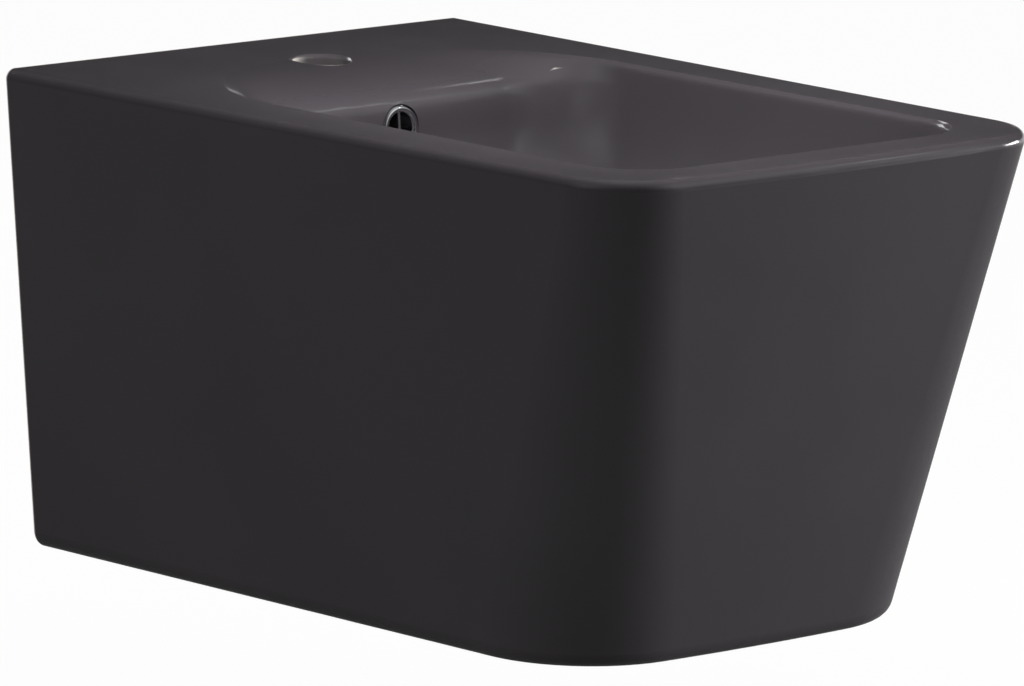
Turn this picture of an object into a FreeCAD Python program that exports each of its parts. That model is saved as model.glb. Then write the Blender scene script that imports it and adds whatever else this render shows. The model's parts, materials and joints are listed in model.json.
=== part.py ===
import FreeCAD, Part
import math
import os

from FreeCAD import Rotation, Vector

# Wall-hung bidet. Millimetres, +Z up, the wall is the plane Y = 0 and the front looks along -Y.
# The origin lies midway between the two wall fixings, on the wall.

# Outer form of the ceramic
height = 294.0
fixing_below_rim = 70.0
rim_width = 360.0
rim_depth = 540.0
rim_corner = 47.0
foot_width = 310.0
foot_depth = 476.0
foot_corner = 81.0
side_taper = 1.1
front_sweep = 3.1
rim_edge = 6.0
foot_edge = 11.5
wall_trim = 4.0

# Ceramic thicknesses
shell_wall = 9.5
bowl_wall = 10.0
deck = 16.0
back_plate = 14.0
back_plate_drop = 50.0
foot_plate = 11.0
foot_lip = 28.0

# Bowl
bowl_half = 135.0
bowl_rear = 150.0
bowl_front = 504.0
rear_corner = 52.0
front_corner = 42.0
bowl_depth = 105.0
floor_fall = 12.0
bowl_power = 3.2
rear_lip_reach = 90.0
rear_lip_drop = 18.0
rear_lip_share = 0.9
side_lip = 4.0
drain_setback = 272.0
drain_flat = 36.0
drain_round = 30.6
lip_sections = 7
wall_sections = 9

# Tap hole
tap_setback = 79.0
tap_radius = 17.5
tap_edge = 3.0

# Overflow hole, ring and duct
overflow_below_rim = 33.0
overflow_radius = 10.8
overflow_sink = 0.6
ring_outer = 14.0
ring_bore = 9.3
ring_proud = 2.6
ring_barrel = 9.0
ring_bar = 2.2
ring_slit = 2.0
ring_root = 3.0
ring_bite = 0.2
duct_radius = 7.5
duct_wall = 6.0
duct_bend = 20.0

# Wall fixings
fixing_distance = 180.0
fixing_boss = 22.0
fixing_boss_length = 45.0
fixing_hole = 11.0
stud_hole = 6.5
pad_thickness = 2.0
sleeve_flange = 19.0
sleeve_flange_thickness = 3.0
washer_radius = 15.0
washer_thickness = 2.5
nut_flats = 19.0
nut_height = 10.0
nut_bore = 6.1

# Waste fitting
waste_boss = 38.0
waste_boss_height = 26.0
waste_hole = 23.0
waste_recess = 34.0
flange_radius = 33.0
flange_thickness = 4.0
flange_proud = 1.0
flange_chamfer = 4.0
flange_edge = 1.2
seal_margin = 0.5
upper_seal = 1.5
waste_thread = 20.9
waste_bore = 18.5
waste_length = 62.0
window_width = 13.0
window_height = 13.0
lower_seal_radius = 31.0
lower_seal = 6.0
lower_seal_cone = 3.0
slip_washer_radius = 30.0
slip_washer = 1.5
back_nut_flats = 55.0
back_nut = 10.0
spider_drop = 35.0
spider_height = 6.0
spider_hub = 10.8
spider_arm = 3.2
spider_bite = 0.8
spider_arms = 3

# Push-open plug
plug_stroke = 8.0
plug_radius = 30.0
plug_rim = 2.0
plug_dome = 3.5
plug_edge = 0.8
plug_hub = 6.0
plug_hub_length = 5.0
plug_seal = 2.0
plug_seal_inner = 25.0
plug_seal_outer = 28.6
plug_seal_groove = 1.0
stem_radius = 3.0
stem_grip = 6.8
stem_tail = 2.3
collar_radius = 5.2
collar = 2.0
cartridge_radius = 7.2
cartridge_bore = 5.7
cartridge_length = 42.0
cartridge_floor = 2.0
cartridge_collar = 9.4
cartridge_collar_height = 3.0
cartridge_lid = 4.0
lid_skirt = 1.4
lid_edge = 1.0
lid_gap = 2.0
stem_gap = 4.0
rotor_height = 5.0
rotor_notch = 2.0
rotor_notch_depth = 1.0
rotor_teeth = 4
spring_radius = 4.3
spring_wire = 0.45
spring_turns = 7

# Bottle trap
tail_gasket = 2.0
tube_radius = 16.0
tube_wall = 1.5
tube_flange = 20.2
tube_flange_thickness = 2.5
union_radius = 26.0
union_height = 22.0
union_lip = 3.4
trap_gap = 3.0
inlet_nut_radius = 26.5
inlet_nut_height = 16.0
nut_lip = 3.0
cone_seal = 5.0
cone_step = 0.5
cone_taper = 1.0
nut_foot_edge = 1.5
nut_top_edge = 2.5
neck_radius = 20.5
neck_height = 9.0
head_radius = 29.5
head_height = 54.0
head_wall = 3.2
head_edge = 4.0
outlet_drop = 22.0
outlet_reach = 68.0
socket_depth = 30.0
outlet_nut_radius = 26.5
outlet_nut_length = 22.0
water_seal = 50.0
cup_neck_height = 12.0
cup_seal = 2.5
cup_flange = 31.0
cup_flange_height = 4.5
cup_radius = 27.0
cup_wall = 2.5
cup_bottom_gap = 7.0
cup_bottom_edge = 7.0
grip_count = 12
grip_radius = 2.2
grip_offset = 0.6

# Clearances
slip = 0.3
run = 0.08
thread = 0.1

# Levels, all worked out from the values above
rim_z = fixing_below_rim
foot_z = rim_z - height
bowl_floor_z = rim_z - bowl_depth
boss_z = bowl_floor_z - waste_boss_height
flange_top_z = bowl_floor_z + flange_proud
flange_z = flange_top_z - flange_thickness
recess_z = flange_z - upper_seal
back_nut_top_z = boss_z - lower_seal - slip_washer
waste_end_z = flange_top_z - waste_length
spider_top_z = flange_top_z - spider_drop
cap_z = flange_top_z + plug_seal - plug_seal_groove
hub_z = cap_z - plug_hub_length
lid_top_z = hub_z - lid_gap
cartridge_top_z = lid_top_z - cartridge_lid
cartridge_z = cartridge_top_z - cartridge_length
spring_z = cartridge_z + cartridge_floor
collar_top_z = cartridge_top_z - plug_stroke - slip
rotor_top_z = collar_top_z - collar
rotor_z = rotor_top_z - rotor_height
tube_top_z = waste_end_z - tail_gasket
union_z = tube_top_z - tube_flange_thickness - union_lip
inlet_nut_top_z = union_z - trap_gap
inlet_nut_z = inlet_nut_top_z - inlet_nut_height
neck_top_z = inlet_nut_top_z - nut_lip - cone_seal
head_top_z = neck_top_z - neck_height
head_z = head_top_z - head_height
outlet_z = head_top_z - outlet_drop
tube_end_z = outlet_z - (tube_radius - tube_wall) - water_seal
cup_floor_z = tube_end_z - cup_bottom_gap
cup_z = cup_floor_z - cup_wall
fixing_x = fixing_distance / 2
drain = Vector(0, -drain_setback, 0)


def mix(start, end, share):
    return start + (end - start) * share


def mirrored(point):
    return Vector(-point.x, point.y, point.z)


def body_outline(z, inset=0.0, back=0.0):
    # Plan outline of the shell at height z: straight tapering sides, round corners, a bowed front.
    share = (z - foot_z) / height
    taper = math.radians(side_taper)
    sweep = math.radians(front_sweep)
    half = mix(foot_width, rim_width, share) / 2 - inset / math.cos(taper)
    front = mix(foot_depth, rim_depth, share) - inset
    corner = mix(foot_corner, rim_corner, share) - inset
    lean = math.sin(sweep + taper)
    reach = half * math.cos(taper) - front * math.sin(taper) - corner * (1 - lean)
    bow = reach / (lean - math.sin(taper))

    def facing(angle):
        return Vector(math.sin(angle), -math.cos(angle), 0)

    side_angle = math.pi / 2 - taper
    nose = Vector(0, -front, z)
    corner_front = Vector(0, bow - front, z) + facing(sweep) * bow
    corner_centre = corner_front - facing(sweep) * corner
    corner_mid = corner_centre + facing((sweep + side_angle) / 2) * corner
    corner_side = corner_centre + facing(side_angle) * corner
    wall_end = Vector(half + back * math.tan(taper), back, z)
    edges = [
        Part.LineSegment(mirrored(wall_end), wall_end),
        Part.LineSegment(wall_end, corner_side),
        Part.Arc(corner_side, corner_mid, corner_front),
        Part.Arc(corner_front, nose, mirrored(corner_front)),
        Part.Arc(mirrored(corner_front), mirrored(corner_mid), mirrored(corner_side)),
        Part.LineSegment(mirrored(corner_side), mirrored(wall_end)),
    ]
    return Part.Wire([edge.toShape() for edge in edges])


def body_loft(low, high, inset=0.0, back=0.0):
    return Part.makeLoft([body_outline(low, inset, back), body_outline(high, inset, back)], True, True)


def level_edges(shape, z):
    found = []
    for edge in shape.Edges:
        box = edge.BoundBox
        if abs(box.ZMin - z) < 0.001 and abs(box.ZMax - z) < 0.001 and box.YMin < -0.001:
            found.append(edge)
    return found


def rounded_rectangle(half, rear, front, rear_round, front_round, z):
    bend = math.sqrt(0.5)

    def corner(x, y, round_x, round_y, radius, first):
        centre = Vector(x - round_x * radius, y - round_y * radius, z)
        along_x = centre + Vector(round_x * radius, 0, 0)
        along_y = centre + Vector(0, round_y * radius, 0)
        middle = centre + Vector(round_x * radius * bend, round_y * radius * bend, 0)
        return (along_y, middle, along_x) if first == "y" else (along_x, middle, along_y)

    corners = [
        corner(half, rear, 1, 1, rear_round, "y"),
        corner(half, front, 1, -1, front_round, "x"),
        corner(-half, front, -1, -1, front_round, "y"),
        corner(-half, rear, -1, 1, rear_round, "x"),
    ]
    edges = []
    for index, points in enumerate(corners):
        before = corners[index - 1]
        edges.append(Part.LineSegment(before[2], points[0]).toShape())
        edges.append(Part.Arc(*points).toShape())
    return Part.Wire(edges)


def bowl_plan(fall):
    # Share of the full plan size left where the wall has fallen by this share of its depth.
    return max(0.0, 1 - fall ** bowl_power) ** (1 / bowl_power)


def bowl_drop(fall):
    return (bowl_depth - floor_fall) * fall + floor_fall * (1 - bowl_plan(fall))


def lip(drop, reach, depth):
    # Quarter ellipse from the flat rim into the bowl wall.
    if drop >= depth:
        return 0.0
    return reach * (1 - math.sqrt(1 - (1 - drop / depth) ** 2))


def bowl_section(fall, grow, with_lip):
    plan = bowl_plan(fall)
    drop = bowl_drop(fall)
    rear_lip = lip(drop, rear_lip_reach, rear_lip_drop) if with_lip else 0.0
    rim_lip = lip(drop, side_lip, side_lip) if with_lip else 0.0
    half = mix(drain_flat, bowl_half, plan) + grow + rim_lip
    rear = mix(drain_flat - drain_setback, -bowl_rear, plan) + grow + rear_lip
    front = mix(-drain_flat - drain_setback, -bowl_front, plan) - grow - rim_lip
    rear_round = mix(drain_round, rear_corner, plan) + grow + rim_lip + rear_lip * rear_lip_share
    front_round = mix(drain_round, front_corner, plan) + grow + rim_lip
    return rounded_rectangle(half, rear, front, rear_round, front_round, rim_z - drop - grow * fall)


def bowl(grow, with_lip):
    lip_fall = rear_lip_drop / (bowl_depth - floor_fall)
    falls = [lip_fall * (1 - math.cos(math.pi / 2 * step / lip_sections)) for step in range(lip_sections)]
    start = math.asin(lip_fall ** (bowl_power / 2))
    for step in range(wall_sections):
        angle = mix(start, math.pi / 2, step / (wall_sections - 0.6))
        falls.append(math.sin(angle) ** (2 / bowl_power))
    falls.append(1.0)
    sections = [bowl_section(fall, grow, with_lip) for fall in falls]
    return Part.makeLoft(sections, True, False)


def rear_wall_at(drop):
    # Setback of the bowl's rear wall at this drop below the rim.
    low = 0.0
    high = 1.0
    for _ in range(60):
        middle = (low + high) / 2
        if bowl_drop(middle) < drop:
            low = middle
        else:
            high = middle
    return mix(drain_flat - drain_setback, -bowl_rear, bowl_plan(low))


overflow_seat = Vector(0, rear_wall_at(overflow_below_rim), rim_z - overflow_below_rim)
overflow_lean = math.atan((rear_wall_at(overflow_below_rim - 2) - rear_wall_at(overflow_below_rim + 2)) / 4)
overflow_axis = Vector(0, -math.cos(overflow_lean), math.sin(overflow_lean))
overflow_back = overflow_seat - overflow_axis * overflow_sink
duct_y = overflow_seat.y + bowl_wall / 2 + duct_radius
duct_z = (recess_z + boss_z) / 2


def spun(wire):
    solid = Part.Face(wire).revolve(Vector(0, 0, 0), Vector(0, 0, 1), 360)
    return solid if solid.ShapeType == "Solid" else Part.Solid(solid.Shells[0])


def turned(points, axis_point=None):
    # Solid turned about a vertical axis from (radius, height) points.
    profile = [Vector(radius, 0, z) for radius, z in points]
    profile.append(profile[0])
    solid = spun(Part.makePolygon(profile))
    if axis_point is not None:
        solid.translate(axis_point)
    return solid


def tube(inner, outer, low, high):
    return turned([(inner, low), (outer, low), (outer, high), (inner, high)])


def hexagon(flats, low, high):
    corner = flats / 2 / math.cos(math.pi / 6)
    points = [
        Vector(corner * math.cos(math.radians(60 * side)), corner * math.sin(math.radians(60 * side)), low)
        for side in range(7)
    ]
    return Part.Face(Part.makePolygon(points)).extrude(Vector(0, 0, high - low))


def hexagon_nut(flats, bore, low, high):
    # Corners of the hexagon taken off by a 30 degree cone at both ends.
    corner = flats / 2 / math.cos(math.pi / 6)
    chamfer = (corner - flats / 2) * math.tan(math.radians(30))
    blank = turned([
        (bore, low), (flats / 2, low), (corner, low + chamfer),
        (corner, high - chamfer), (flats / 2, high), (bore, high),
    ])
    return hexagon(flats, low, high).common(blank)


def fluted(solid, radius, low, high):
    # Finger grooves round the outside of a hand-tight nut.
    for flute in range(grip_count):
        angle = 2 * math.pi * flute / grip_count
        centre = Vector(radius * math.cos(angle), radius * math.sin(angle), low - 1)
        solid = solid.cut(Part.makeCylinder(grip_radius, high - low + 2, centre))
    return solid


def along_y(solid, y, z):
    # A piece turned about Z is laid with its axis along +Y.
    solid.rotate(Vector(0, 0, 0), Vector(1, 0, 0), -90)
    solid.translate(Vector(0, y, z))
    return solid


def duct(radius, end):
    # Overflow duct: down behind the bowl, round a bend and forward to this distance from the drain.
    elbow = Vector(0, duct_y - duct_bend, duct_z + duct_bend)
    drop = Part.makeCylinder(radius, overflow_seat.z - elbow.z, Vector(0, duct_y, elbow.z))
    bend = Part.makeTorus(duct_bend, radius, elbow, Vector(1, 0, 0), 0, 360, 360)
    bend = bend.common(Part.makeBox(4 * radius, 2 * duct_bend, 2 * duct_bend,
                                    Vector(-2 * radius, elbow.y, elbow.z - 2 * duct_bend)))
    run_length = elbow.y + drain_setback - end
    forward = Part.makeCylinder(radius, run_length, Vector(0, elbow.y, duct_z), Vector(0, -1, 0))
    top = Part.makeSphere(radius, Vector(0, duct_y, overflow_seat.z))
    return drop.multiFuse([bend, forward, top]).removeSplitter()


def ceramic():
    front_space = Part.makeBox(2 * rim_width, 2 * rim_depth, 2 * height,
                               Vector(-rim_width, -2 * rim_depth, foot_z - height / 2))
    outer = body_loft(foot_z, rim_z, 0.0, wall_trim).common(front_space)
    outer = outer.makeFillet(rim_edge, level_edges(outer, rim_z))
    outer = outer.makeFillet(foot_edge, level_edges(outer, foot_z))
    body = outer.cut(bowl(0.0, True))

    # The hollow under the bowl, less everything that stands in it
    hollow = body_loft(foot_z + foot_plate, rim_z - deck, shell_wall, -back_plate)
    kept = [bowl(bowl_wall, False)]
    kept.append(Part.makeCylinder(waste_boss, bowl_floor_z - boss_z, drain + Vector(0, 0, boss_z)))
    kept.append(duct(duct_radius + duct_wall, waste_boss - 1))
    rib = duct_radius + duct_wall
    rib_reach = duct_y + rib - overflow_seat.y
    rib_half = overflow_radius + duct_wall
    rib_z = overflow_seat.z - overflow_radius
    rib_start = Vector(-rib_half, overflow_seat.y, rib_z)
    kept.append(Part.makeBox(2 * rib_half, rib_reach, rim_z - rib_z, rib_start))
    for side in (-1, 1):
        kept.append(Part.makeCylinder(fixing_boss, fixing_boss_length, Vector(side * fixing_x, 0, 0),
                                      Vector(0, -1, 0)))
    body = body.cut(hollow.cut(kept))

    # Openings to the wall and to the floor
    behind = Part.makeBox(rim_width, back_plate + 1, height, Vector(-rim_width / 2, -back_plate, foot_z))
    body = body.cut(body_loft(foot_z + foot_plate, -back_plate_drop, shell_wall, 1.0).common(behind))
    body = body.cut(body_loft(foot_z - 1, foot_z + foot_plate + 1, foot_lip, 1.0))

    # Holes for the tap, the waste, the overflow and the fixings
    tap = Vector(0, -tap_setback, 0)
    edge_z = rim_z - tap_edge
    tap_tool = Part.makeCylinder(tap_radius, deck + 2, tap + Vector(0, 0, rim_z - deck - 1))
    flare = Part.makeCylinder(tap_radius + tap_edge, tap_edge + 1, tap + Vector(0, 0, edge_z))
    flare = flare.cut(Part.makeTorus(tap_radius + tap_edge, tap_edge, tap + Vector(0, 0, edge_z)))
    waste = turned([
        (0, boss_z - 1), (waste_hole, boss_z - 1), (waste_hole, recess_z), (waste_recess, recess_z),
        (waste_recess, bowl_floor_z + floor_fall), (0, bowl_floor_z + floor_fall),
    ], drain)
    hole = Part.makeCylinder(overflow_radius, overflow_radius + bowl_wall, overflow_seat, -overflow_axis)
    seat = Part.makeCylinder(ring_outer + slip, ring_outer, overflow_back, overflow_axis)
    tools = [tap_tool, flare, waste, hole, seat, duct(duct_radius, waste_hole / 2)]
    for side in (-1, 1):
        tools.append(Part.makeCylinder(fixing_hole, fixing_boss_length + 2, Vector(side * fixing_x, 1, 0),
                                       Vector(0, -1, 0)))
    return body.cut(tools)


def overflow_ring():
    # Half-round bezel, a split barrel that grips the hole, and one bar across the opening.
    inner = Vector(ring_bore, 0, 0)
    crown = Vector((ring_outer + ring_bore) / 2, 0, ring_proud)
    outer = Vector(ring_outer, 0, 0)
    bezel = spun(Part.Wire([Part.Arc(inner, crown, outer).toShape(), Part.makeLine(outer, inner)]))
    barrel = tube(ring_bore, overflow_radius - slip / 2, -ring_barrel, 0)
    slits = Part.makeBox(2 * ring_outer, ring_slit, ring_barrel - ring_root,
                         Vector(-ring_outer, -ring_slit / 2, -ring_barrel))
    crossed = slits.copy()
    crossed.rotate(Vector(0, 0, 0), Vector(0, 0, 1), 90)
    bar_half = ring_bore + ring_bite
    bar = Part.makeCylinder(ring_bar / 2, 2 * bar_half, Vector(0, -bar_half, 0), Vector(0, 1, 0))
    ring = bezel.fuse([barrel.cut([slits, crossed]), bar]).removeSplitter()
    turn = Rotation(Vector(1, 0, 0), overflow_axis.cross(Vector(1, 0, 0)), overflow_axis, "ZXY")
    ring.Placement = FreeCAD.Placement(overflow_back, turn)
    return ring


def waste_body():
    # Flange, threaded tail with overflow windows, and the spider that carries the plug cartridge.
    body = turned([
        (waste_bore, waste_end_z), (waste_thread, waste_end_z), (waste_thread, flange_z),
        (flange_radius, flange_z), (flange_radius, flange_top_z - flange_edge),
        (flange_radius - flange_edge, flange_top_z),
        (waste_bore + flange_chamfer, flange_top_z), (waste_bore, flange_top_z - flange_chamfer),
    ])
    spider_z = spider_top_z - spider_height
    hub = Part.makeCylinder(spider_hub, spider_height, Vector(0, 0, spider_z))
    arms = []
    for arm in range(spider_arms):
        beam = Part.makeBox(waste_bore + spider_bite, spider_arm, spider_height)
        beam.translate(Vector(0, -spider_arm / 2, spider_z))
        beam.rotate(Vector(0, 0, 0), Vector(0, 0, 1), 360 * arm / spider_arms + 30)
        arms.append(beam)
    hole = Part.makeCylinder(cartridge_radius + thread, spider_height + 2, Vector(0, 0, spider_z - 1))
    window = Part.makeBox(window_width, 4 * waste_thread, window_height,
                          Vector(-window_width / 2, -2 * waste_thread, duct_z - window_height / 2))
    body = body.cut(window)
    return body.fuse([hub] + arms).cut(hole).removeSplitter()


def plug_cap():
    # Shallow domed cap with a hub below, a socket for the stem and a groove for its sealing ring.
    rim_top = cap_z + plug_rim
    sphere = (plug_radius ** 2 + plug_dome ** 2) / (2 * plug_dome)
    centre_z = rim_top + plug_dome - sphere

    def on_dome(radius):
        return Vector(radius, 0, centre_z + math.sqrt(sphere ** 2 - radius ** 2))

    edge = plug_radius - plug_edge
    groove_z = cap_z + plug_seal_groove
    points = [
        (0, hub_z + stem_grip), (stem_radius + run, hub_z + stem_grip), (stem_radius + run, hub_z),
        (plug_hub, hub_z), (plug_hub, cap_z), (plug_seal_inner - run, cap_z),
        (plug_seal_inner - run, groove_z), (plug_seal_outer + run, groove_z), (plug_seal_outer + run, cap_z),
        (edge, cap_z), (plug_radius, cap_z + plug_edge), (plug_radius, rim_top - plug_edge),
    ]
    corners = [Vector(radius, 0, z) for radius, z in points] + [on_dome(edge)]
    outline = Part.makePolygon(corners).Edges
    outline.append(Part.Arc(on_dome(edge), on_dome(edge / 2), on_dome(0)).toShape())
    outline.append(Part.makeLine(on_dome(0), corners[0]))
    return spun(Part.Wire(outline))


def plug_stem():
    return turned([
        (0, spring_z + stem_gap), (stem_tail, spring_z + stem_gap), (stem_tail, rotor_z),
        (stem_radius, rotor_z), (stem_radius, rotor_top_z), (collar_radius, rotor_top_z),
        (collar_radius, collar_top_z),
        (stem_radius, collar_top_z), (stem_radius, hub_z + stem_grip), (0, hub_z + stem_grip),
    ])


def index_rotor():
    # Toothed sleeve under the stem's collar that steps round a little at every push.
    rotor = tube(stem_radius + run, collar_radius, rotor_z, rotor_top_z)
    for tooth in range(rotor_teeth):
        notch = Part.makeBox(collar_radius, rotor_notch, 2 * rotor_notch_depth)
        notch.translate(Vector(stem_radius, -rotor_notch / 2, rotor_z))
        notch.translate(Vector(rotor_notch_depth, 0, -rotor_notch_depth))
        notch.rotate(Vector(0, 0, 0), Vector(0, 0, 1), 360 * tooth / rotor_teeth)
        rotor = rotor.cut(notch)
    return rotor


def plug_spring():
    # Open coil between the cartridge floor and the rotor, laid as arcs of a quarter turn.
    low = spring_z + spring_wire
    high = rotor_z - spring_wire
    pitch = (high - low) / spring_turns

    def on_coil(turn):
        angle = 2 * math.pi * turn
        return Vector(spring_radius * math.cos(angle), spring_radius * math.sin(angle), low + pitch * turn)

    arcs = []
    for quarter in range(4 * spring_turns):
        turn = quarter / 4
        arcs.append(Part.Arc(on_coil(turn), on_coil(turn + 0.125), on_coil(turn + 0.25)).toShape())
    path = Part.Wire(arcs)
    start = Vector(0, 1, pitch / (2 * math.pi * spring_radius))
    section = Part.Wire(Part.makeCircle(spring_wire, on_coil(0), start))
    return path.makePipeShell([section], True, False)


def cartridge_housing():
    return turned([
        (0, cartridge_z), (cartridge_radius, cartridge_z), (cartridge_radius, spider_top_z),
        (cartridge_collar, spider_top_z), (cartridge_collar, spider_top_z + cartridge_collar_height),
        (cartridge_radius, spider_top_z + cartridge_collar_height), (cartridge_radius, cartridge_top_z),
        (cartridge_bore, cartridge_top_z), (cartridge_bore, spring_z), (0, spring_z),
    ])


def cartridge_lid_piece():
    # Screw lid: a disc with the stem's guide hole and a skirt outside the barrel.
    skirt_z = cartridge_top_z - cartridge_lid
    outer = cartridge_radius + thread + lid_skirt
    return turned([
        (stem_radius + run, cartridge_top_z), (cartridge_radius + thread, cartridge_top_z),
        (cartridge_radius + thread, skirt_z), (outer, skirt_z), (outer, lid_top_z - lid_edge),
        (outer - lid_edge, lid_top_z), (stem_radius + run, lid_top_z),
    ])


def dip_tube():
    bore = tube_radius - tube_wall
    return turned([
        (bore, tube_end_z), (tube_radius, tube_end_z), (tube_radius, tube_top_z - tube_flange_thickness),
        (tube_flange, tube_top_z - tube_flange_thickness), (tube_flange, tube_top_z), (bore, tube_top_z),
    ])


def hand_nut(radius, thread_radius, lip_radius, low, high, lip_height):
    # Fluted plastic nut with an inward lip at its high end.
    nut = turned([
        (thread_radius, low), (radius - nut_foot_edge, low), (radius, low + nut_foot_edge),
        (radius, high - nut_top_edge), (radius - nut_top_edge, high), (lip_radius, high),
        (lip_radius, high - lip_height), (thread_radius, high - lip_height),
    ])
    return fluted(nut, radius + grip_offset, low, high)


def union_nut():
    nut = hand_nut(union_radius, waste_thread + thread, tube_radius + slip, 0, union_height, union_lip)
    nut.rotate(Vector(0, 0, 0), Vector(1, 0, 0), 180)
    nut.translate(Vector(0, 0, union_z + union_height))
    return nut


def cone_ring(bore, low):
    # Tapered rubber ring that a nut presses round a tube.
    outer = neck_radius - cone_step
    high = low + cone_seal
    return turned([(bore, low), (outer, low), (outer - cone_taper, high), (bore, high)])


def trap_head():
    # Bottle head: inlet neck on top, outlet socket toward the wall, a threaded skirt below.
    inner = head_radius - head_wall
    head = turned([
        (inner, head_z), (head_radius, head_z), (head_radius, head_top_z - head_edge),
        (head_radius - head_edge, head_top_z),
        (neck_radius, head_top_z), (neck_radius, neck_top_z), (tube_radius + slip, neck_top_z),
        (tube_radius + slip, head_top_z - head_wall), (inner, head_top_z - head_wall),
    ])
    outlet = Part.makeCylinder(neck_radius, outlet_reach, Vector(0, 0, outlet_z), Vector(0, 1, 0))
    room = Part.makeCylinder(inner, head_height - head_wall + 1, Vector(0, 0, head_z - 1))
    inlet = Part.makeCylinder(tube_radius + slip, head_height, Vector(0, 0, head_z))
    head = head.fuse(outlet.cut([room, inlet]))
    bore = Part.makeCylinder(tube_radius - tube_wall, outlet_reach + 1,
                             Vector(0, 0, outlet_z), Vector(0, 1, 0))
    socket = Part.makeCylinder(tube_radius + slip, socket_depth + 1,
                               Vector(0, outlet_reach - socket_depth, outlet_z), Vector(0, 1, 0))
    return head.cut([bore, socket]).removeSplitter()


def trap_cup():
    # Screw-off bottle with a flange under its seal and a rounded, grooved foot.
    inner = head_radius - head_wall
    neck = inner - thread
    neck_top = head_z + cup_neck_height
    seal_z = head_z - cup_seal
    flange_low = seal_z - cup_flange_height
    cup = turned([
        (0, cup_z), (cup_radius, cup_z), (cup_radius, flange_low), (cup_flange, flange_low),
        (cup_flange, seal_z), (neck, seal_z), (neck, neck_top), (neck - cup_wall, neck_top),
        (neck - cup_wall, cup_floor_z), (0, cup_floor_z),
    ])
    foot = [edge for edge in level_edges(cup, cup_z) if edge.Length > cup_radius]
    cup = cup.makeFillet(cup_bottom_edge, foot)
    return fluted(cup, cup_flange + grip_offset, flange_low, seal_z)


def at_drain(shape):
    shape.translate(drain)
    return shape


def pair(make):
    # The same piece at both wall fixings, its axis pointing into the hollow.
    pieces = []
    for side in (-1, 1):
        piece = make()
        piece.rotate(Vector(0, 0, 0), Vector(1, 0, 0), 90)
        piece.translate(Vector(side * fixing_x, 0, 0))
        pieces.append(piece)
    return Part.makeCompound(pieces)


boss_face = fixing_boss_length
sleeve_face = boss_face + pad_thickness
washer_face = sleeve_face + sleeve_flange_thickness
nut_face = washer_face + washer_thickness
outlet_face = drain.y + outlet_reach
sleeve_outer = fixing_hole - slip
tail_fit = waste_thread + thread
washer_top_z = boss_z - lower_seal
back_nut_z = back_nut_top_z - back_nut
neck_fit = neck_radius + thread
tube_fit = tube_radius + slip
outlet_nut_face = outlet_face + cone_seal + nut_lip

parts = {
    "ceramic_body": ceramic(),
    "overflow_ring": overflow_ring(),
    "waste_body": at_drain(waste_body()),
    "waste_upper_seal": at_drain(tube(tail_fit, flange_radius - seal_margin, recess_z, flange_z)),
    "waste_lower_seal": at_drain(turned([
        (tail_fit, washer_top_z), (lower_seal_radius, washer_top_z),
        (lower_seal_radius, boss_z - lower_seal / 2), (waste_hole + lower_seal_cone, boss_z),
        (tail_fit, boss_z)])),
    "waste_slip_washer": at_drain(tube(tail_fit, slip_washer_radius, back_nut_top_z, washer_top_z)),
    "waste_back_nut": at_drain(hexagon_nut(back_nut_flats, tail_fit, back_nut_z, back_nut_top_z)),
    "plug_cap": at_drain(plug_cap()),
    "plug_seal": at_drain(tube(plug_seal_inner, plug_seal_outer, flange_top_z, flange_top_z + plug_seal)),
    "plug_stem": at_drain(plug_stem()),
    "index_rotor": at_drain(index_rotor()),
    "plug_spring": at_drain(plug_spring()),
    "cartridge_housing": at_drain(cartridge_housing()),
    "cartridge_lid": at_drain(cartridge_lid_piece()),
    "tail_gasket": at_drain(tube(tube_radius - tube_wall, tube_flange, tube_top_z, waste_end_z)),
    "dip_tube": at_drain(dip_tube()),
    "union_nut": at_drain(union_nut()),
    "trap_inlet_nut": at_drain(hand_nut(inlet_nut_radius, neck_fit, tube_fit, inlet_nut_z, inlet_nut_top_z,
                                        nut_lip)),
    "trap_inlet_seal": at_drain(cone_ring(tube_radius + run, neck_top_z)),
    "trap_head": at_drain(trap_head()),
    "trap_cup": at_drain(trap_cup()),
    "trap_cup_seal": at_drain(tube(head_radius - head_wall + slip, head_radius, head_z - cup_seal, head_z)),
    "trap_outlet_nut": along_y(
        hand_nut(outlet_nut_radius, neck_fit, tube_fit, -outlet_nut_length, 0, nut_lip),
        outlet_nut_face, outlet_z),
    "trap_outlet_seal": along_y(cone_ring(tube_fit, 0), outlet_face, outlet_z),
    "fixing_pads": pair(lambda: tube(sleeve_outer + slip, sleeve_flange, boss_face, sleeve_face)),
    "fixing_sleeves": pair(lambda: turned([
        (stud_hole, 0), (sleeve_outer, 0), (sleeve_outer, sleeve_face), (sleeve_flange, sleeve_face),
        (sleeve_flange, washer_face), (stud_hole, washer_face)])),
    "fixing_washers": pair(lambda: tube(stud_hole, washer_radius, washer_face, nut_face)),
    "fixing_nuts": pair(lambda: hexagon_nut(nut_flats, nut_bore, nut_face, nut_face + nut_height)),
}

os.makedirs("parts", exist_ok=True)
for node, shape in parts.items():
    shape.exportStep("parts/" + node + ".step")
    print(node, len(shape.Solids), shape.isValid(), round(shape.Volume / 1000, 2), "cm3")
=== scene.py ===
import json
import math

import bmesh
import bpy
from mathutils import Matrix, Vector


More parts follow.
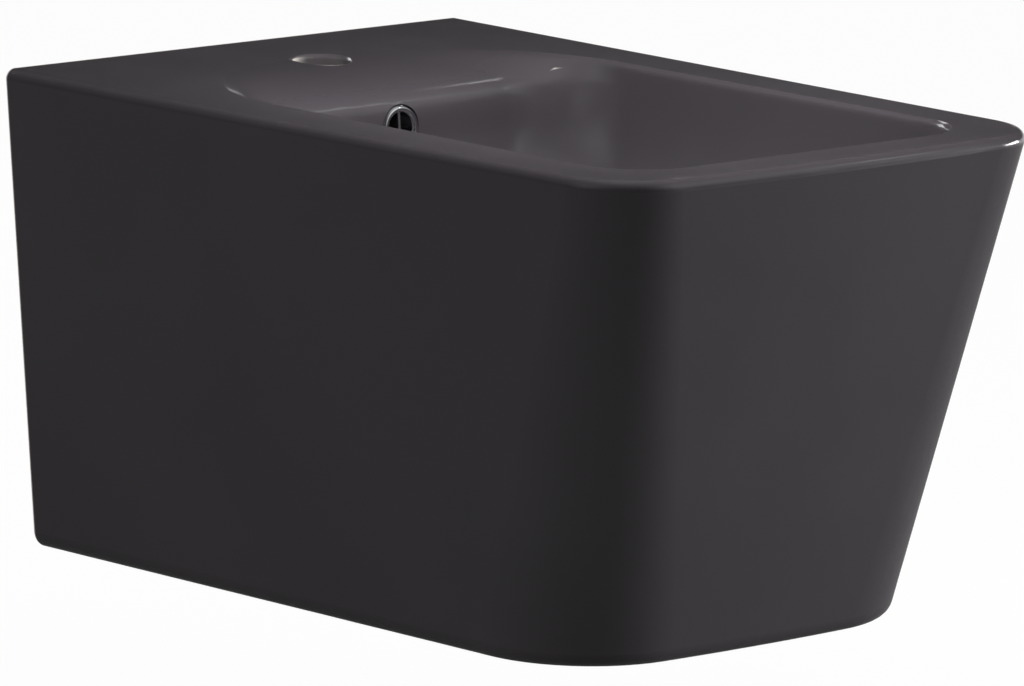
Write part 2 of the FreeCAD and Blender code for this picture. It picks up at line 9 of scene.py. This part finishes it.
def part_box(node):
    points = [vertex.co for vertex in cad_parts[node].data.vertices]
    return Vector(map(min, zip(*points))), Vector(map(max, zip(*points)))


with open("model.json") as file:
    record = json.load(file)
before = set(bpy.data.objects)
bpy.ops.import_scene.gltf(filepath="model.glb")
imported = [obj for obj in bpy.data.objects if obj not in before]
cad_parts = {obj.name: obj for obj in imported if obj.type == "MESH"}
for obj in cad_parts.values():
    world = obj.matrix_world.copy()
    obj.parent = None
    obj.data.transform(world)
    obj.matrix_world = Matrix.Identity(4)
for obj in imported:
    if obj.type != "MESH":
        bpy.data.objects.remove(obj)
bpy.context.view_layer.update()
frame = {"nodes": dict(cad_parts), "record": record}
nodes = frame["nodes"]
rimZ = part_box("ceramic_body")[1].z
drainY = -0.272  # axis of the waste, plug and trap
print("frame:", len(nodes), "nodes, rim at", round(rimZ, 4))


# small helpers for node trees
def addNode(tree, kind, **values):
    node = tree.nodes.new(kind)
    for name, value in values.items():
        if hasattr(node, name):
            setattr(node, name, value)
        else:
            node.inputs[name].default_value = value
    return node


def mathNode(tree, operation, first, second=None):
    node = addNode(tree, "ShaderNodeMath", operation=operation)
    for index, value in enumerate((first, second)):
        if value is None:
            continue
        if isinstance(value, (int, float)):
            node.inputs[index].default_value = value
        else:
            tree.links.new(value, node.inputs[index])
    return node.outputs[0]


def spread(tree, value, low, high, toLow, toHigh):
    node = addNode(tree, "ShaderNodeMapRange", interpolation_type="SMOOTHSTEP")
    tree.links.new(value, node.inputs[0])
    for index, number in enumerate((low, high, toLow, toHigh)):
        node.inputs[index + 1].default_value = number
    return node.outputs[0]


def blendColour(tree, share, first, second):
    node = addNode(tree, "ShaderNodeMix", data_type="RGBA")
    for socket, value in ((node.inputs[0], share), (node.inputs[6], first), (node.inputs[7], second)):
        if hasattr(value, "node"):
            tree.links.new(value, socket)
        else:
            socket.default_value = value
    return node.outputs[2]


def axes(tree, place):
    node = addNode(tree, "ShaderNodeSeparateXYZ")
    tree.links.new(place, node.inputs[0])
    return node.outputs["X"], node.outputs["Y"], node.outputs["Z"]


def newMaterial(name):
    material = bpy.data.materials.new(name)
    material.use_nodes = True
    tree = material.node_tree
    tree.nodes.clear()
    shader = addNode(tree, "ShaderNodeBsdfPrincipled")
    output = addNode(tree, "ShaderNodeOutputMaterial")
    tree.links.new(shader.outputs[0], output.inputs[0])
    where = addNode(tree, "ShaderNodeTexCoord").outputs["Object"]
    return material, tree, shader, where


# shared surface effect: slow mottling, fine grain and rub marks
def makeSurfaceGroup():
    group = bpy.data.node_groups.new("surfaceVariation", "ShaderNodeTree")
    face = group.interface
    face.new_socket("Place", in_out="INPUT", socket_type="NodeSocketVector")
    for name, value in (("Mottle Scale", 9.0), ("Grain Scale", 900.0), ("Rub Scale", 60.0)):
        face.new_socket(name, in_out="INPUT", socket_type="NodeSocketFloat").default_value = value
    for name in ("Mottle", "Grain", "Rub"):
        face.new_socket(name, in_out="OUTPUT", socket_type="NodeSocketFloat")
    inside = addNode(group, "NodeGroupInput")
    outside = addNode(group, "NodeGroupOutput")
    for name, detail, rough in (("Mottle", 3.0, 0.5), ("Grain", 2.0, 0.6), ("Rub", 5.0, 0.65)):
        noise = addNode(group, "ShaderNodeTexNoise", Detail=detail, Roughness=rough)
        group.links.new(inside.outputs["Place"], noise.inputs["Vector"])
        group.links.new(inside.outputs[name + " Scale"], noise.inputs["Scale"])
        group.links.new(noise.outputs["Fac"], outside.inputs[name])
    return group


surfaceGroup = makeSurfaceGroup()


# scales are those of the mottling, the grain and the rub marks, in that order
def useSurface(tree, where, scales):
    node = addNode(tree, "ShaderNodeGroup", node_tree=surfaceGroup)
    tree.links.new(where, node.inputs["Place"])
    for name, scale in zip(("Mottle", "Grain", "Rub"), scales):
        node.inputs[name + " Scale"].default_value = scale
    return node.outputs


def addBump(tree, shader, height, strength, distance):
    bump = addNode(tree, "ShaderNodeBump", Strength=strength, Distance=distance)
    tree.links.new(height, bump.inputs["Height"])
    tree.links.new(bump.outputs["Normal"], shader.inputs["Normal"])


# the casting's outer skin, bowl, lip, overflow duct and tap bore, only to tell glazed faces from bare clay
casting = {"height": 0.294, "half": 0.18, "halfLoss": 0.025, "front": 0.54, "frontLoss": 0.064, "corner": 0.047,
           "cornerGain": 0.034, "toe": 0.0192, "bow": 0.225, "skin": 0.004, "skinSoft": 0.002, "back": 0.0012,
           "backSoft": 0.001}
bowl = {"top": 0.004, "depth": 0.097, "power": 3.2, "half": 0.041, "halfGain": 0.099, "out": 0.272, "outGain": 0.055,
        "length": 0.041, "lengthGain": 0.141, "square": 7, "edge": 0.93, "edgeSoft": 0.06, "end": 0.108,
        "endSoft": 0.002, "floorHalf": 0.08, "floorOut": 0.285, "floorLength": 0.085, "floorDepth": 0.106}
lip = {"start": 0.06, "run": 0.09, "drop": 0.018, "end": 0.15, "endSoft": 0.006, "skin": 0.0065}
duct = {"half": 0.0125, "depth": 0.06, "depthSoft": 0.01, "out": 0.138, "reach": 0.017}
# in the tap bore the clay colour is painted on the left side only, as a painted lit side, fading to the dark glaze
# on the right, as painted shade
tapHole = {"out": 0.079, "radius": 0.0175, "margin": 0.001, "soft": 0.0008, "top": 0.0008, "topSoft": 0.0012,
           "paintedLitFrom": -0.015, "paintedLitTo": 0.004, "shadedSideClay": 0.02}


# mask of bare clay on the wall face, the hollow and the tap bore, where the bore's clay is painted on its lit side
# only
def bareClayAndPaintedLitBore(tree, where):
    def calc(operation, first, second=None):
        return mathNode(tree, operation, first, second)

    def below(value, edge, soft):
        return spread(tree, value, edge, edge + soft, 1, 0)

    def both(first, second):
        return calc("MULTIPLY", first, second)

    def grow(start, share, gain):
        return calc("ADD", start, calc("MULTIPLY", share, gain))

    def shrink(start, share, loss):
        return calc("SUBTRACT", start, calc("MULTIPLY", share, loss))

    def apart(value, centre):
        return calc("ABSOLUTE", calc("SUBTRACT", value, centre))

    def length(first, second):
        return calc("SQRT", calc("ADD", calc("MULTIPLY", first, first), calc("MULTIPLY", second, second)))

    x, y, z = axes(tree, where)
    side = calc("ABSOLUTE", x)
    out = calc("MULTIPLY", y, -1)  # distance from the wall
    deep = calc("SUBTRACT", rimZ, z)
    low = calc("DIVIDE", deep, casting["height"])
    corner = grow(casting["corner"], low, casting["cornerGain"])
    half = shrink(shrink(casting["half"], low, casting["halfLoss"]), out, casting["toe"])
    front = shrink(shrink(casting["front"], low, casting["frontLoss"]), both(side, side), casting["bow"])
    pastX = calc("MAXIMUM", calc("SUBTRACT", side, calc("SUBTRACT", half, corner)), 0)
    pastY = calc("MAXIMUM", calc("SUBTRACT", out, calc("SUBTRACT", front, corner)), 0)
    fromSkin = calc("SUBTRACT", corner, length(pastX, pastY))
    hollow = spread(tree, fromSkin, casting["skin"], casting["skin"] + casting["skinSoft"], 0, 1)
    # bowl, as far as the middle of its wall, and its floor
    fall = calc("DIVIDE", calc("MAXIMUM", calc("SUBTRACT", deep, bowl["top"]), 0), bowl["depth"])
    fall = calc("POWER", calc("MINIMUM", fall, 1), bowl["power"])
    plan = calc("POWER", calc("SUBTRACT", 1, fall), 1 / bowl["power"])
    wide = calc("DIVIDE", side, grow(bowl["half"], plan, bowl["halfGain"]))
    along = calc("DIVIDE", apart(out, grow(bowl["out"], plan, bowl["outGain"])),
                 grow(bowl["length"], plan, bowl["lengthGain"]))
    ring = calc("ADD", calc("POWER", wide, bowl["square"]), calc("POWER", along, bowl["square"]))
    inBowl = both(below(ring, bowl["edge"], bowl["edgeSoft"]), below(deep, bowl["end"], bowl["endSoft"]))
    onFloor = both(below(side, bowl["floorHalf"], 0.002), below(deep, bowl["floorDepth"], 0.001))
    onFloor = both(onFloor, below(apart(out, bowl["floorOut"]), bowl["floorLength"], 0.002))
    # rim, deck and the soft lip behind the bowl
    run = calc("DIVIDE", calc("SUBTRACT", out, lip["start"]), lip["run"])
    run = calc("MINIMUM", calc("MAXIMUM", run, 0), 1)
    drop = calc("SUBTRACT", 1, calc("SQRT", calc("SUBTRACT", 1, both(run, run))))
    drop = both(calc("MULTIPLY", drop, lip["drop"]), below(out, lip["end"], lip["endSoft"]))
    onTop = below(calc("SUBTRACT", deep, drop), lip["skin"], 0.001)
    inDuct = both(below(side, duct["half"], 0.001), below(deep, duct["depth"], duct["depthSoft"]))
    inDuct = both(inDuct, below(apart(out, duct["out"]), duct["reach"], 0.002))
    glazed = calc("MAXIMUM", inDuct, calc("MAXIMUM", calc("MAXIMUM", inBowl, onFloor), onTop))
    wallFace = spread(tree, y, -casting["back"], casting["backSoft"] - casting["back"], 0, 1)
    fromTap = length(x, calc("SUBTRACT", out, tapHole["out"]))
    bore = both(below(fromTap, tapHole["radius"] + tapHole["margin"], tapHole["soft"]),
                spread(tree, deep, tapHole["top"], tapHole["top"] + tapHole["topSoft"], 0, 1))
    inside = both(both(hollow, calc("SUBTRACT", 1, glazed)), calc("SUBTRACT", 1, bore))
    # the bore is bare clay, but the clay colour is painted on its left side only, as a painted lit side where the
    # light from the right falls; the right side keeps the dark glaze, as painted shade
    boreClayPaintedLitSide = both(bore, spread(tree, x, tapHole["paintedLitFrom"], tapHole["paintedLitTo"], 1, tapHole["shadedSideClay"]))
    return calc("MAXIMUM", calc("MAXIMUM", inside, wallFace), boreClayPaintedLitSide)


glaze = {
    "deep": (0.0465, 0.0418, 0.0465, 1), "light": (0.0505, 0.0454, 0.0505, 1), "speck": (0.056, 0.051, 0.0555, 1),
    "clayLow": (0.54, 0.5, 0.45, 1), "clayHigh": (0.66, 0.62, 0.57, 1), "smooth": 0.15, "rough": 0.19,
    "clayRough": 0.8, "scales": (7.0, 520.0, 38.0), "specks": 0.4, "rubRelief": 0.5, "grainRelief": 0.05,
    "clayRelief": 1.2, "bump": 0.1, "bumpDepth": 0.0006, "ior": 1.5,
}


def makeGlaze():
    material, tree, shader, where = newMaterial("charcoalGlaze")
    marks = useSurface(tree, where, glaze["scales"])
    grain, rub = marks["Grain"], marks["Rub"]
    body = blendColour(tree, spread(tree, marks["Mottle"], 0.35, 0.65, 0, 1), glaze["deep"], glaze["light"])
    body = blendColour(tree, spread(tree, grain, 0.66, 0.74, 0, glaze["specks"]), body, glaze["speck"])
    clay = blendColour(tree, spread(tree, rub, 0.3, 0.7, 0, 1), glaze["clayLow"], glaze["clayHigh"])
    # bare clay, with the tap bore's clay painted as a lit side on the left only
    bareAndPaintedLit = bareClayAndPaintedLitBore(tree, where)
    tree.links.new(blendColour(tree, bareAndPaintedLit, body, clay), shader.inputs["Base Color"])
    shine = spread(tree, rub, 0.3, 0.7, glaze["smooth"], glaze["rough"])
    dull = mathNode(tree, "MULTIPLY", bareAndPaintedLit, glaze["clayRough"])
    tree.links.new(mathNode(tree, "MAXIMUM", shine, dull), shader.inputs["Roughness"])
    shader.inputs["IOR"].default_value = glaze["ior"]
    skin = mathNode(tree, "ADD", mathNode(tree, "MULTIPLY", rub, glaze["rubRelief"]),
                    mathNode(tree, "MULTIPLY", grain, glaze["grainRelief"]))
    chalk = mathNode(tree, "MULTIPLY", mathNode(tree, "MULTIPLY", grain, bareAndPaintedLit), glaze["clayRelief"])
    addBump(tree, shader, mathNode(tree, "ADD", skin, chalk), glaze["bump"], glaze["bumpDepth"])
    return material


# helical thread as relief, on the outside of the waste's tail only
def threadRelief(tree, where, thread):
    x, y, z = axes(tree, where)
    y = mathNode(tree, "SUBTRACT", y, drainY)
    reach = mathNode(tree, "SQRT", mathNode(tree, "ADD", mathNode(tree, "MULTIPLY", x, x),
                                            mathNode(tree, "MULTIPLY", y, y)))
    mask = mathNode(tree, "MULTIPLY", mathNode(tree, "GREATER_THAN", reach, thread["radius"] - thread["margin"]),
                    mathNode(tree, "LESS_THAN", reach, thread["radius"] + thread["margin"]))
    mask = mathNode(tree, "MULTIPLY", mask, mathNode(tree, "LESS_THAN", z, thread["top"]))
    angle = mathNode(tree, "DIVIDE", mathNode(tree, "ARCTAN2", x, y), 2 * math.pi)
    turns = mathNode(tree, "ADD", mathNode(tree, "DIVIDE", z, thread["pitch"]), angle)
    return mathNode(tree, "MULTIPLY", mathNode(tree, "PINGPONG", turns, 0.5), mask)


chrome = {"tint": (0.78, 0.79, 0.81, 1), "smudge": (0.68, 0.69, 0.71, 1), "smooth": 0.05, "rough": 0.14,
          "scales": (40.0, 1500.0, 220.0), "threadDepth": 0.002}
tailThread = {"radius": 0.0209, "margin": 0.0002, "pitch": 0.0023, "top": -0.062}


def makeChrome():
    material, tree, shader, where = newMaterial("polishedChrome")
    marks = useSurface(tree, where, chrome["scales"])
    tint = blendColour(tree, spread(tree, marks["Mottle"], 0.4, 0.7, 0, 1), chrome["tint"], chrome["smudge"])
    tree.links.new(tint, shader.inputs["Base Color"])
    shine = spread(tree, marks["Rub"], 0.45, 0.75, chrome["smooth"], chrome["rough"])
    tree.links.new(shine, shader.inputs["Roughness"])
    shader.inputs["Metallic"].default_value = 1.0
    addBump(tree, shader, threadRelief(tree, where, tailThread), 1.0, chrome["threadDepth"])
    return material


def makePlain(name, finish):
    material, tree, shader, where = newMaterial(name)
    marks = useSurface(tree, where, finish["scales"])
    tint = blendColour(tree, spread(tree, marks["Mottle"], 0.35, 0.65, 0, 1), finish["low"], finish["high"])
    tree.links.new(tint, shader.inputs["Base Color"])
    shine = spread(tree, marks["Rub"], 0.3, 0.7, finish["smooth"], finish["rough"])
    tree.links.new(shine, shader.inputs["Roughness"])
    shader.inputs["Metallic"].default_value = finish.get("metal", 0.0)
    addBump(tree, shader, marks["Grain"], finish["bump"], 0.0004)
    return material


brass = {"low": (0.62, 0.42, 0.16, 1), "high": (0.74, 0.53, 0.24, 1), "scales": (60, 1800, 300), "smooth": 0.22,
         "rough": 0.38, "metal": 1.0, "bump": 0.05}
steel = {"low": (0.46, 0.47, 0.49, 1), "high": (0.6, 0.61, 0.63, 1), "scales": (300, 2200, 500), "smooth": 0.28,
         "rough": 0.45, "metal": 1.0, "bump": 0.06}
rubber = {"low": (0.012, 0.012, 0.013, 1), "high": (0.024, 0.024, 0.025, 1), "scales": (80, 2600, 400),
          "smooth": 0.55, "rough": 0.75, "bump": 0.16}
nylon = {"low": (0.66, 0.65, 0.61, 1), "high": (0.74, 0.735, 0.7, 1), "scales": (70, 1600, 260), "smooth": 0.35,
         "rough": 0.5, "bump": 0.06}
trapPlastic = {"low": (0.74, 0.74, 0.73, 1), "high": (0.81, 0.81, 0.8, 1), "scales": (35, 1400, 160),
               "smooth": 0.26, "rough": 0.4, "bump": 0.05}

finishes = {
    "glaze": makeGlaze(), "chrome": makeChrome(), "brass": makePlain("turnedBrass", brass),
    "steel": makePlain("zincSteel", steel), "rubber": makePlain("sealRubber", rubber),
    "nylon": makePlain("naturalNylon", nylon), "trap_plastic": makePlain("trapPlastic", trapPlastic),
}
for part in frame["record"]["subparts"]:
    for slot in nodes[part["node"]].material_slots:
        slot.material = finishes[part["material_slot"]]
print("finishes:", len(finishes))

# camera worked out from the outline of the object in the photo
shot = {"azimuth": -41.789, "elevation": 10.423, "roll": 0.897, "distance": 5.5464,
        "target": (0.00244, -0.25154, rimZ - 0.1487), "lens": 330.22, "sensor": 36.0, "sight": 60.0}


def makeCamera():
    turn = math.radians(shot["azimuth"])
    rise = math.radians(shot["elevation"])
    back = Vector((math.sin(turn) * math.cos(rise), -math.cos(turn) * math.cos(rise), math.sin(rise)))
    right = Vector((math.cos(turn), math.sin(turn), 0))
    basis = Matrix((right, back.cross(right), back)).transposed().to_4x4()
    lens = bpy.data.cameras.new("photoCamera")
    lens.lens = shot["lens"]
    lens.sensor_width = shot["sensor"]
    lens.clip_end = shot["sight"]
    camera = bpy.data.objects.new("photoCamera", lens)
    bpy.context.scene.collection.objects.link(camera)
    place = Matrix.Translation(Vector(shot["target"]) + back * shot["distance"])
    camera.matrix_world = place @ basis @ Matrix.Rotation(math.radians(shot["roll"]), 4, "Z")
    bpy.context.scene.camera = camera


makeCamera()

# soft boxes: where they stand from the middle of the rim, their size and power
rimMiddle = (0, -0.27, rimZ)
softLights = {
    "frontRight": {"way": (0.84, -0.54, 0.02), "far": 3.0, "size": (1.2, 1.2), "power": 115, "mirrored": False},
    "lowStrip": {"way": (0.94, -0.36, 0.03), "far": 3.0, "size": (1.6, 0.5), "power": 60, "diffuse": False},
    "edgeStrip": {"way": (0.84, -0.54, 0.02), "far": 3.0, "size": (1.2, 0.4), "power": 20, "diffuse": False},
    "frontHigh": {"way": (0.45, -0.78, 0.45), "far": 3.0, "size": (1.4, 1.4), "power": 20, "mirrored": False},
    "leftSide": {"way": (-0.9, 0.2, 0.35), "far": 3.0, "size": (1.6, 1.6), "power": 27, "mirrored": False},
    "edgeKey": {"way": (0.97, -0.93, 0.68), "far": 1.51, "size": (0.1, 0.1), "power": 0.18},
    "lipKey": {"way": (0.375, 0.224, 0.324), "far": 0.543, "size": (0.035, 0.035), "power": 0.0175},
    "bowlPanel": {"way": (-0.18, -0.1, 0.97), "far": 0.46, "size": (0.16, 0.4), "power": 1.6, "mirrored": False},
    "rearPanel": {"way": (0.05, -0.49, 0.87), "far": 0.39, "size": (0.3, 0.12), "power": 0.78, "mirrored": False},
    "frontPanel": {"way": (0, -0.24, 0.32), "far": 0.4, "size": (0.25, 0.08), "power": 1.05, "mirrored": False},
    "sidePanel": {"way": (-0.17, -0.05, 0.1), "far": 0.203, "size": (0.3, 0.06), "power": 0.4, "mirrored": False,
                  "face": (-1, 0, 0)},
    "backFill": {"way": (-0.05, 0.95, 0.3), "far": 3.0, "size": (1.2, 1.2), "power": 20},
}


def makeLights():
    for name, light in softLights.items():
        lamp = bpy.data.lights.new(name, "AREA")
        lamp.shape = "RECTANGLE"
        lamp.size, lamp.size_y = light["size"]
        lamp.energy = light["power"]
        holder = bpy.data.objects.new(name, lamp)
        bpy.context.scene.collection.objects.link(holder)
        way = Vector(light["way"]).normalized()
        holder.location = Vector(rimMiddle) + way * light["far"]
        holder.rotation_euler = Vector(light.get("face", way)).to_track_quat("Z", "Y").to_euler()
        holder.visible_camera = False
        holder.visible_glossy = light.get("mirrored", True)
        holder.visible_diffuse = light.get("diffuse", True)


makeLights()

# studio walls and ceiling as broad glows, and a white backdrop that shows low down in reflections
studio = {
    "leftWall": {"way": (-0.9, 0.2, 0.35), "tight": 8, "level": 0.35},
    "frontWall": {"way": (0.45, -0.78, 0.45), "tight": 10, "level": 0.8},
    "ceiling": {"way": (0, 0, 1), "tight": 6, "level": 0.3},
}
backdrop = {"way": (0.8, 0.58, 0.1), "dim": 0.008, "bandLow": 0.02, "bandHigh": 0.075, "sideLow": 0.7,
            "sideHigh": 0.95}


def aim(tree, way, towards):
    node = addNode(tree, "ShaderNodeVectorMath", operation="DOT_PRODUCT")
    tree.links.new(way, node.inputs[0])
    node.inputs[1].default_value = Vector(towards).normalized()
    return node.outputs["Value"]


def seenDirectly(tree, path):
    return mathNode(tree, "MAXIMUM", path.outputs["Is Camera Ray"], path.outputs["Is Transmission Ray"])


def makeWorld():
    world = bpy.data.worlds.new("studioWorld")
    bpy.context.scene.world = world
    world.use_nodes = True
    tree = world.node_tree
    tree.nodes.clear()
    path = addNode(tree, "ShaderNodeLightPath")
    way = addNode(tree, "ShaderNodeTexCoord").outputs["Generated"]
    level = backdrop["dim"]
    for glow in studio.values():
        share = mathNode(tree, "SUBTRACT", aim(tree, way, glow["way"]), 1)
        lobe = mathNode(tree, "EXPONENT", mathNode(tree, "MULTIPLY", share, glow["tight"]))
        level = mathNode(tree, "ADD", mathNode(tree, "MULTIPLY", lobe, glow["level"]), level)
    band = spread(tree, axes(tree, way)[2], backdrop["bandLow"], backdrop["bandHigh"], 1, 0)
    sector = spread(tree, aim(tree, way, backdrop["way"]), backdrop["sideLow"], backdrop["sideHigh"], 0, 1)
    band = mathNode(tree, "MULTIPLY", mathNode(tree, "MULTIPLY", band, sector), path.outputs["Is Glossy Ray"])
    seen = seenDirectly(tree, path)
    hidden = mathNode(tree, "MULTIPLY", level, mathNode(tree, "SUBTRACT", 1, seen))
    strength = mathNode(tree, "MAXIMUM", mathNode(tree, "MAXIMUM", seen, band), hidden)
    back = addNode(tree, "ShaderNodeBackground", Color=(1, 1, 1, 1))
    tree.links.new(strength, back.inputs["Strength"])
    output = addNode(tree, "ShaderNodeOutputWorld")
    tree.links.new(back.outputs[0], output.inputs[0])


makeWorld()

floorLook = {"belowRim": 0.4, "size": 30.0, "grey": (0.2, 0.2, 0.2, 1), "white": (0.9, 0.9, 0.9, 1), "rough": 0.9,
             "shown": 0.965, "nearRadius": 1.2, "farRadius": 3.0, "sideLow": 0.35, "sideHigh": 0.8}


def makeFloor():
    shape = bmesh.new()
    bmesh.ops.create_grid(shape, x_segments=2, y_segments=2, size=floorLook["size"] / 2)
    bmesh.ops.translate(shape, verts=shape.verts, vec=(0, 0, rimZ - floorLook["belowRim"]))
    mesh = bpy.data.meshes.new("paleFloor")
    shape.to_mesh(mesh)
    shape.free()
    floor = bpy.data.objects.new("paleFloor", mesh)
    bpy.context.scene.collection.objects.link(floor)
    material, tree, shader, where = newMaterial("paleFloor")
    path = addNode(tree, "ShaderNodeLightPath")
    seen = seenDirectly(tree, path)
    tree.links.new(blendColour(tree, seen, floorLook["grey"], floorLook["white"]), shader.inputs["Base Color"])
    shader.inputs["Roughness"].default_value = floorLook["rough"]
    shader.inputs["Specular IOR Level"].default_value = 0.0
    # far off towards the backdrop the floor is as white in reflections as it is in the picture
    far = addNode(tree, "ShaderNodeVectorMath", operation="LENGTH")
    unit = addNode(tree, "ShaderNodeVectorMath", operation="NORMALIZE")
    for node in (far, unit):
        tree.links.new(where, node.inputs[0])
    far = spread(tree, far.outputs["Value"], floorLook["nearRadius"], floorLook["farRadius"], 0, 1)
    facing = aim(tree, unit.outputs["Vector"], backdrop["way"])
    facing = spread(tree, facing, floorLook["sideLow"], floorLook["sideHigh"], 0, 1)
    mirrored = mathNode(tree, "MULTIPLY", path.outputs["Is Glossy Ray"], mathNode(tree, "MULTIPLY", far, facing))
    shown = mathNode(tree, "MAXIMUM", mathNode(tree, "MULTIPLY", seen, floorLook["shown"]), mirrored)
    glow = addNode(tree, "ShaderNodeEmission", Color=(1, 1, 1, 1), Strength=1.0)
    mixed = addNode(tree, "ShaderNodeMixShader")
    # clear from underneath, so that the hollow side can be looked at
    clear = addNode(tree, "ShaderNodeBsdfTransparent")
    under = addNode(tree, "ShaderNodeMixShader")
    backfacing = addNode(tree, "ShaderNodeNewGeometry").outputs["Backfacing"]
    for mix, sources in ((mixed, (shown, shader.outputs[0], glow.outputs[0])),
                         (under, (backfacing, mixed.outputs[0], clear.outputs[0]))):
        for index, source in enumerate(sources):
            tree.links.new(source, mix.inputs[index])
    output = [node for node in tree.nodes if node.type == "OUTPUT_MATERIAL"][0]
    tree.links.new(under.outputs[0], output.inputs[0])
    mesh.materials.append(material)


makeFloor()
bpy.context.scene.view_settings.view_transform = "Standard"
print("camera, lights, world and floor ready")
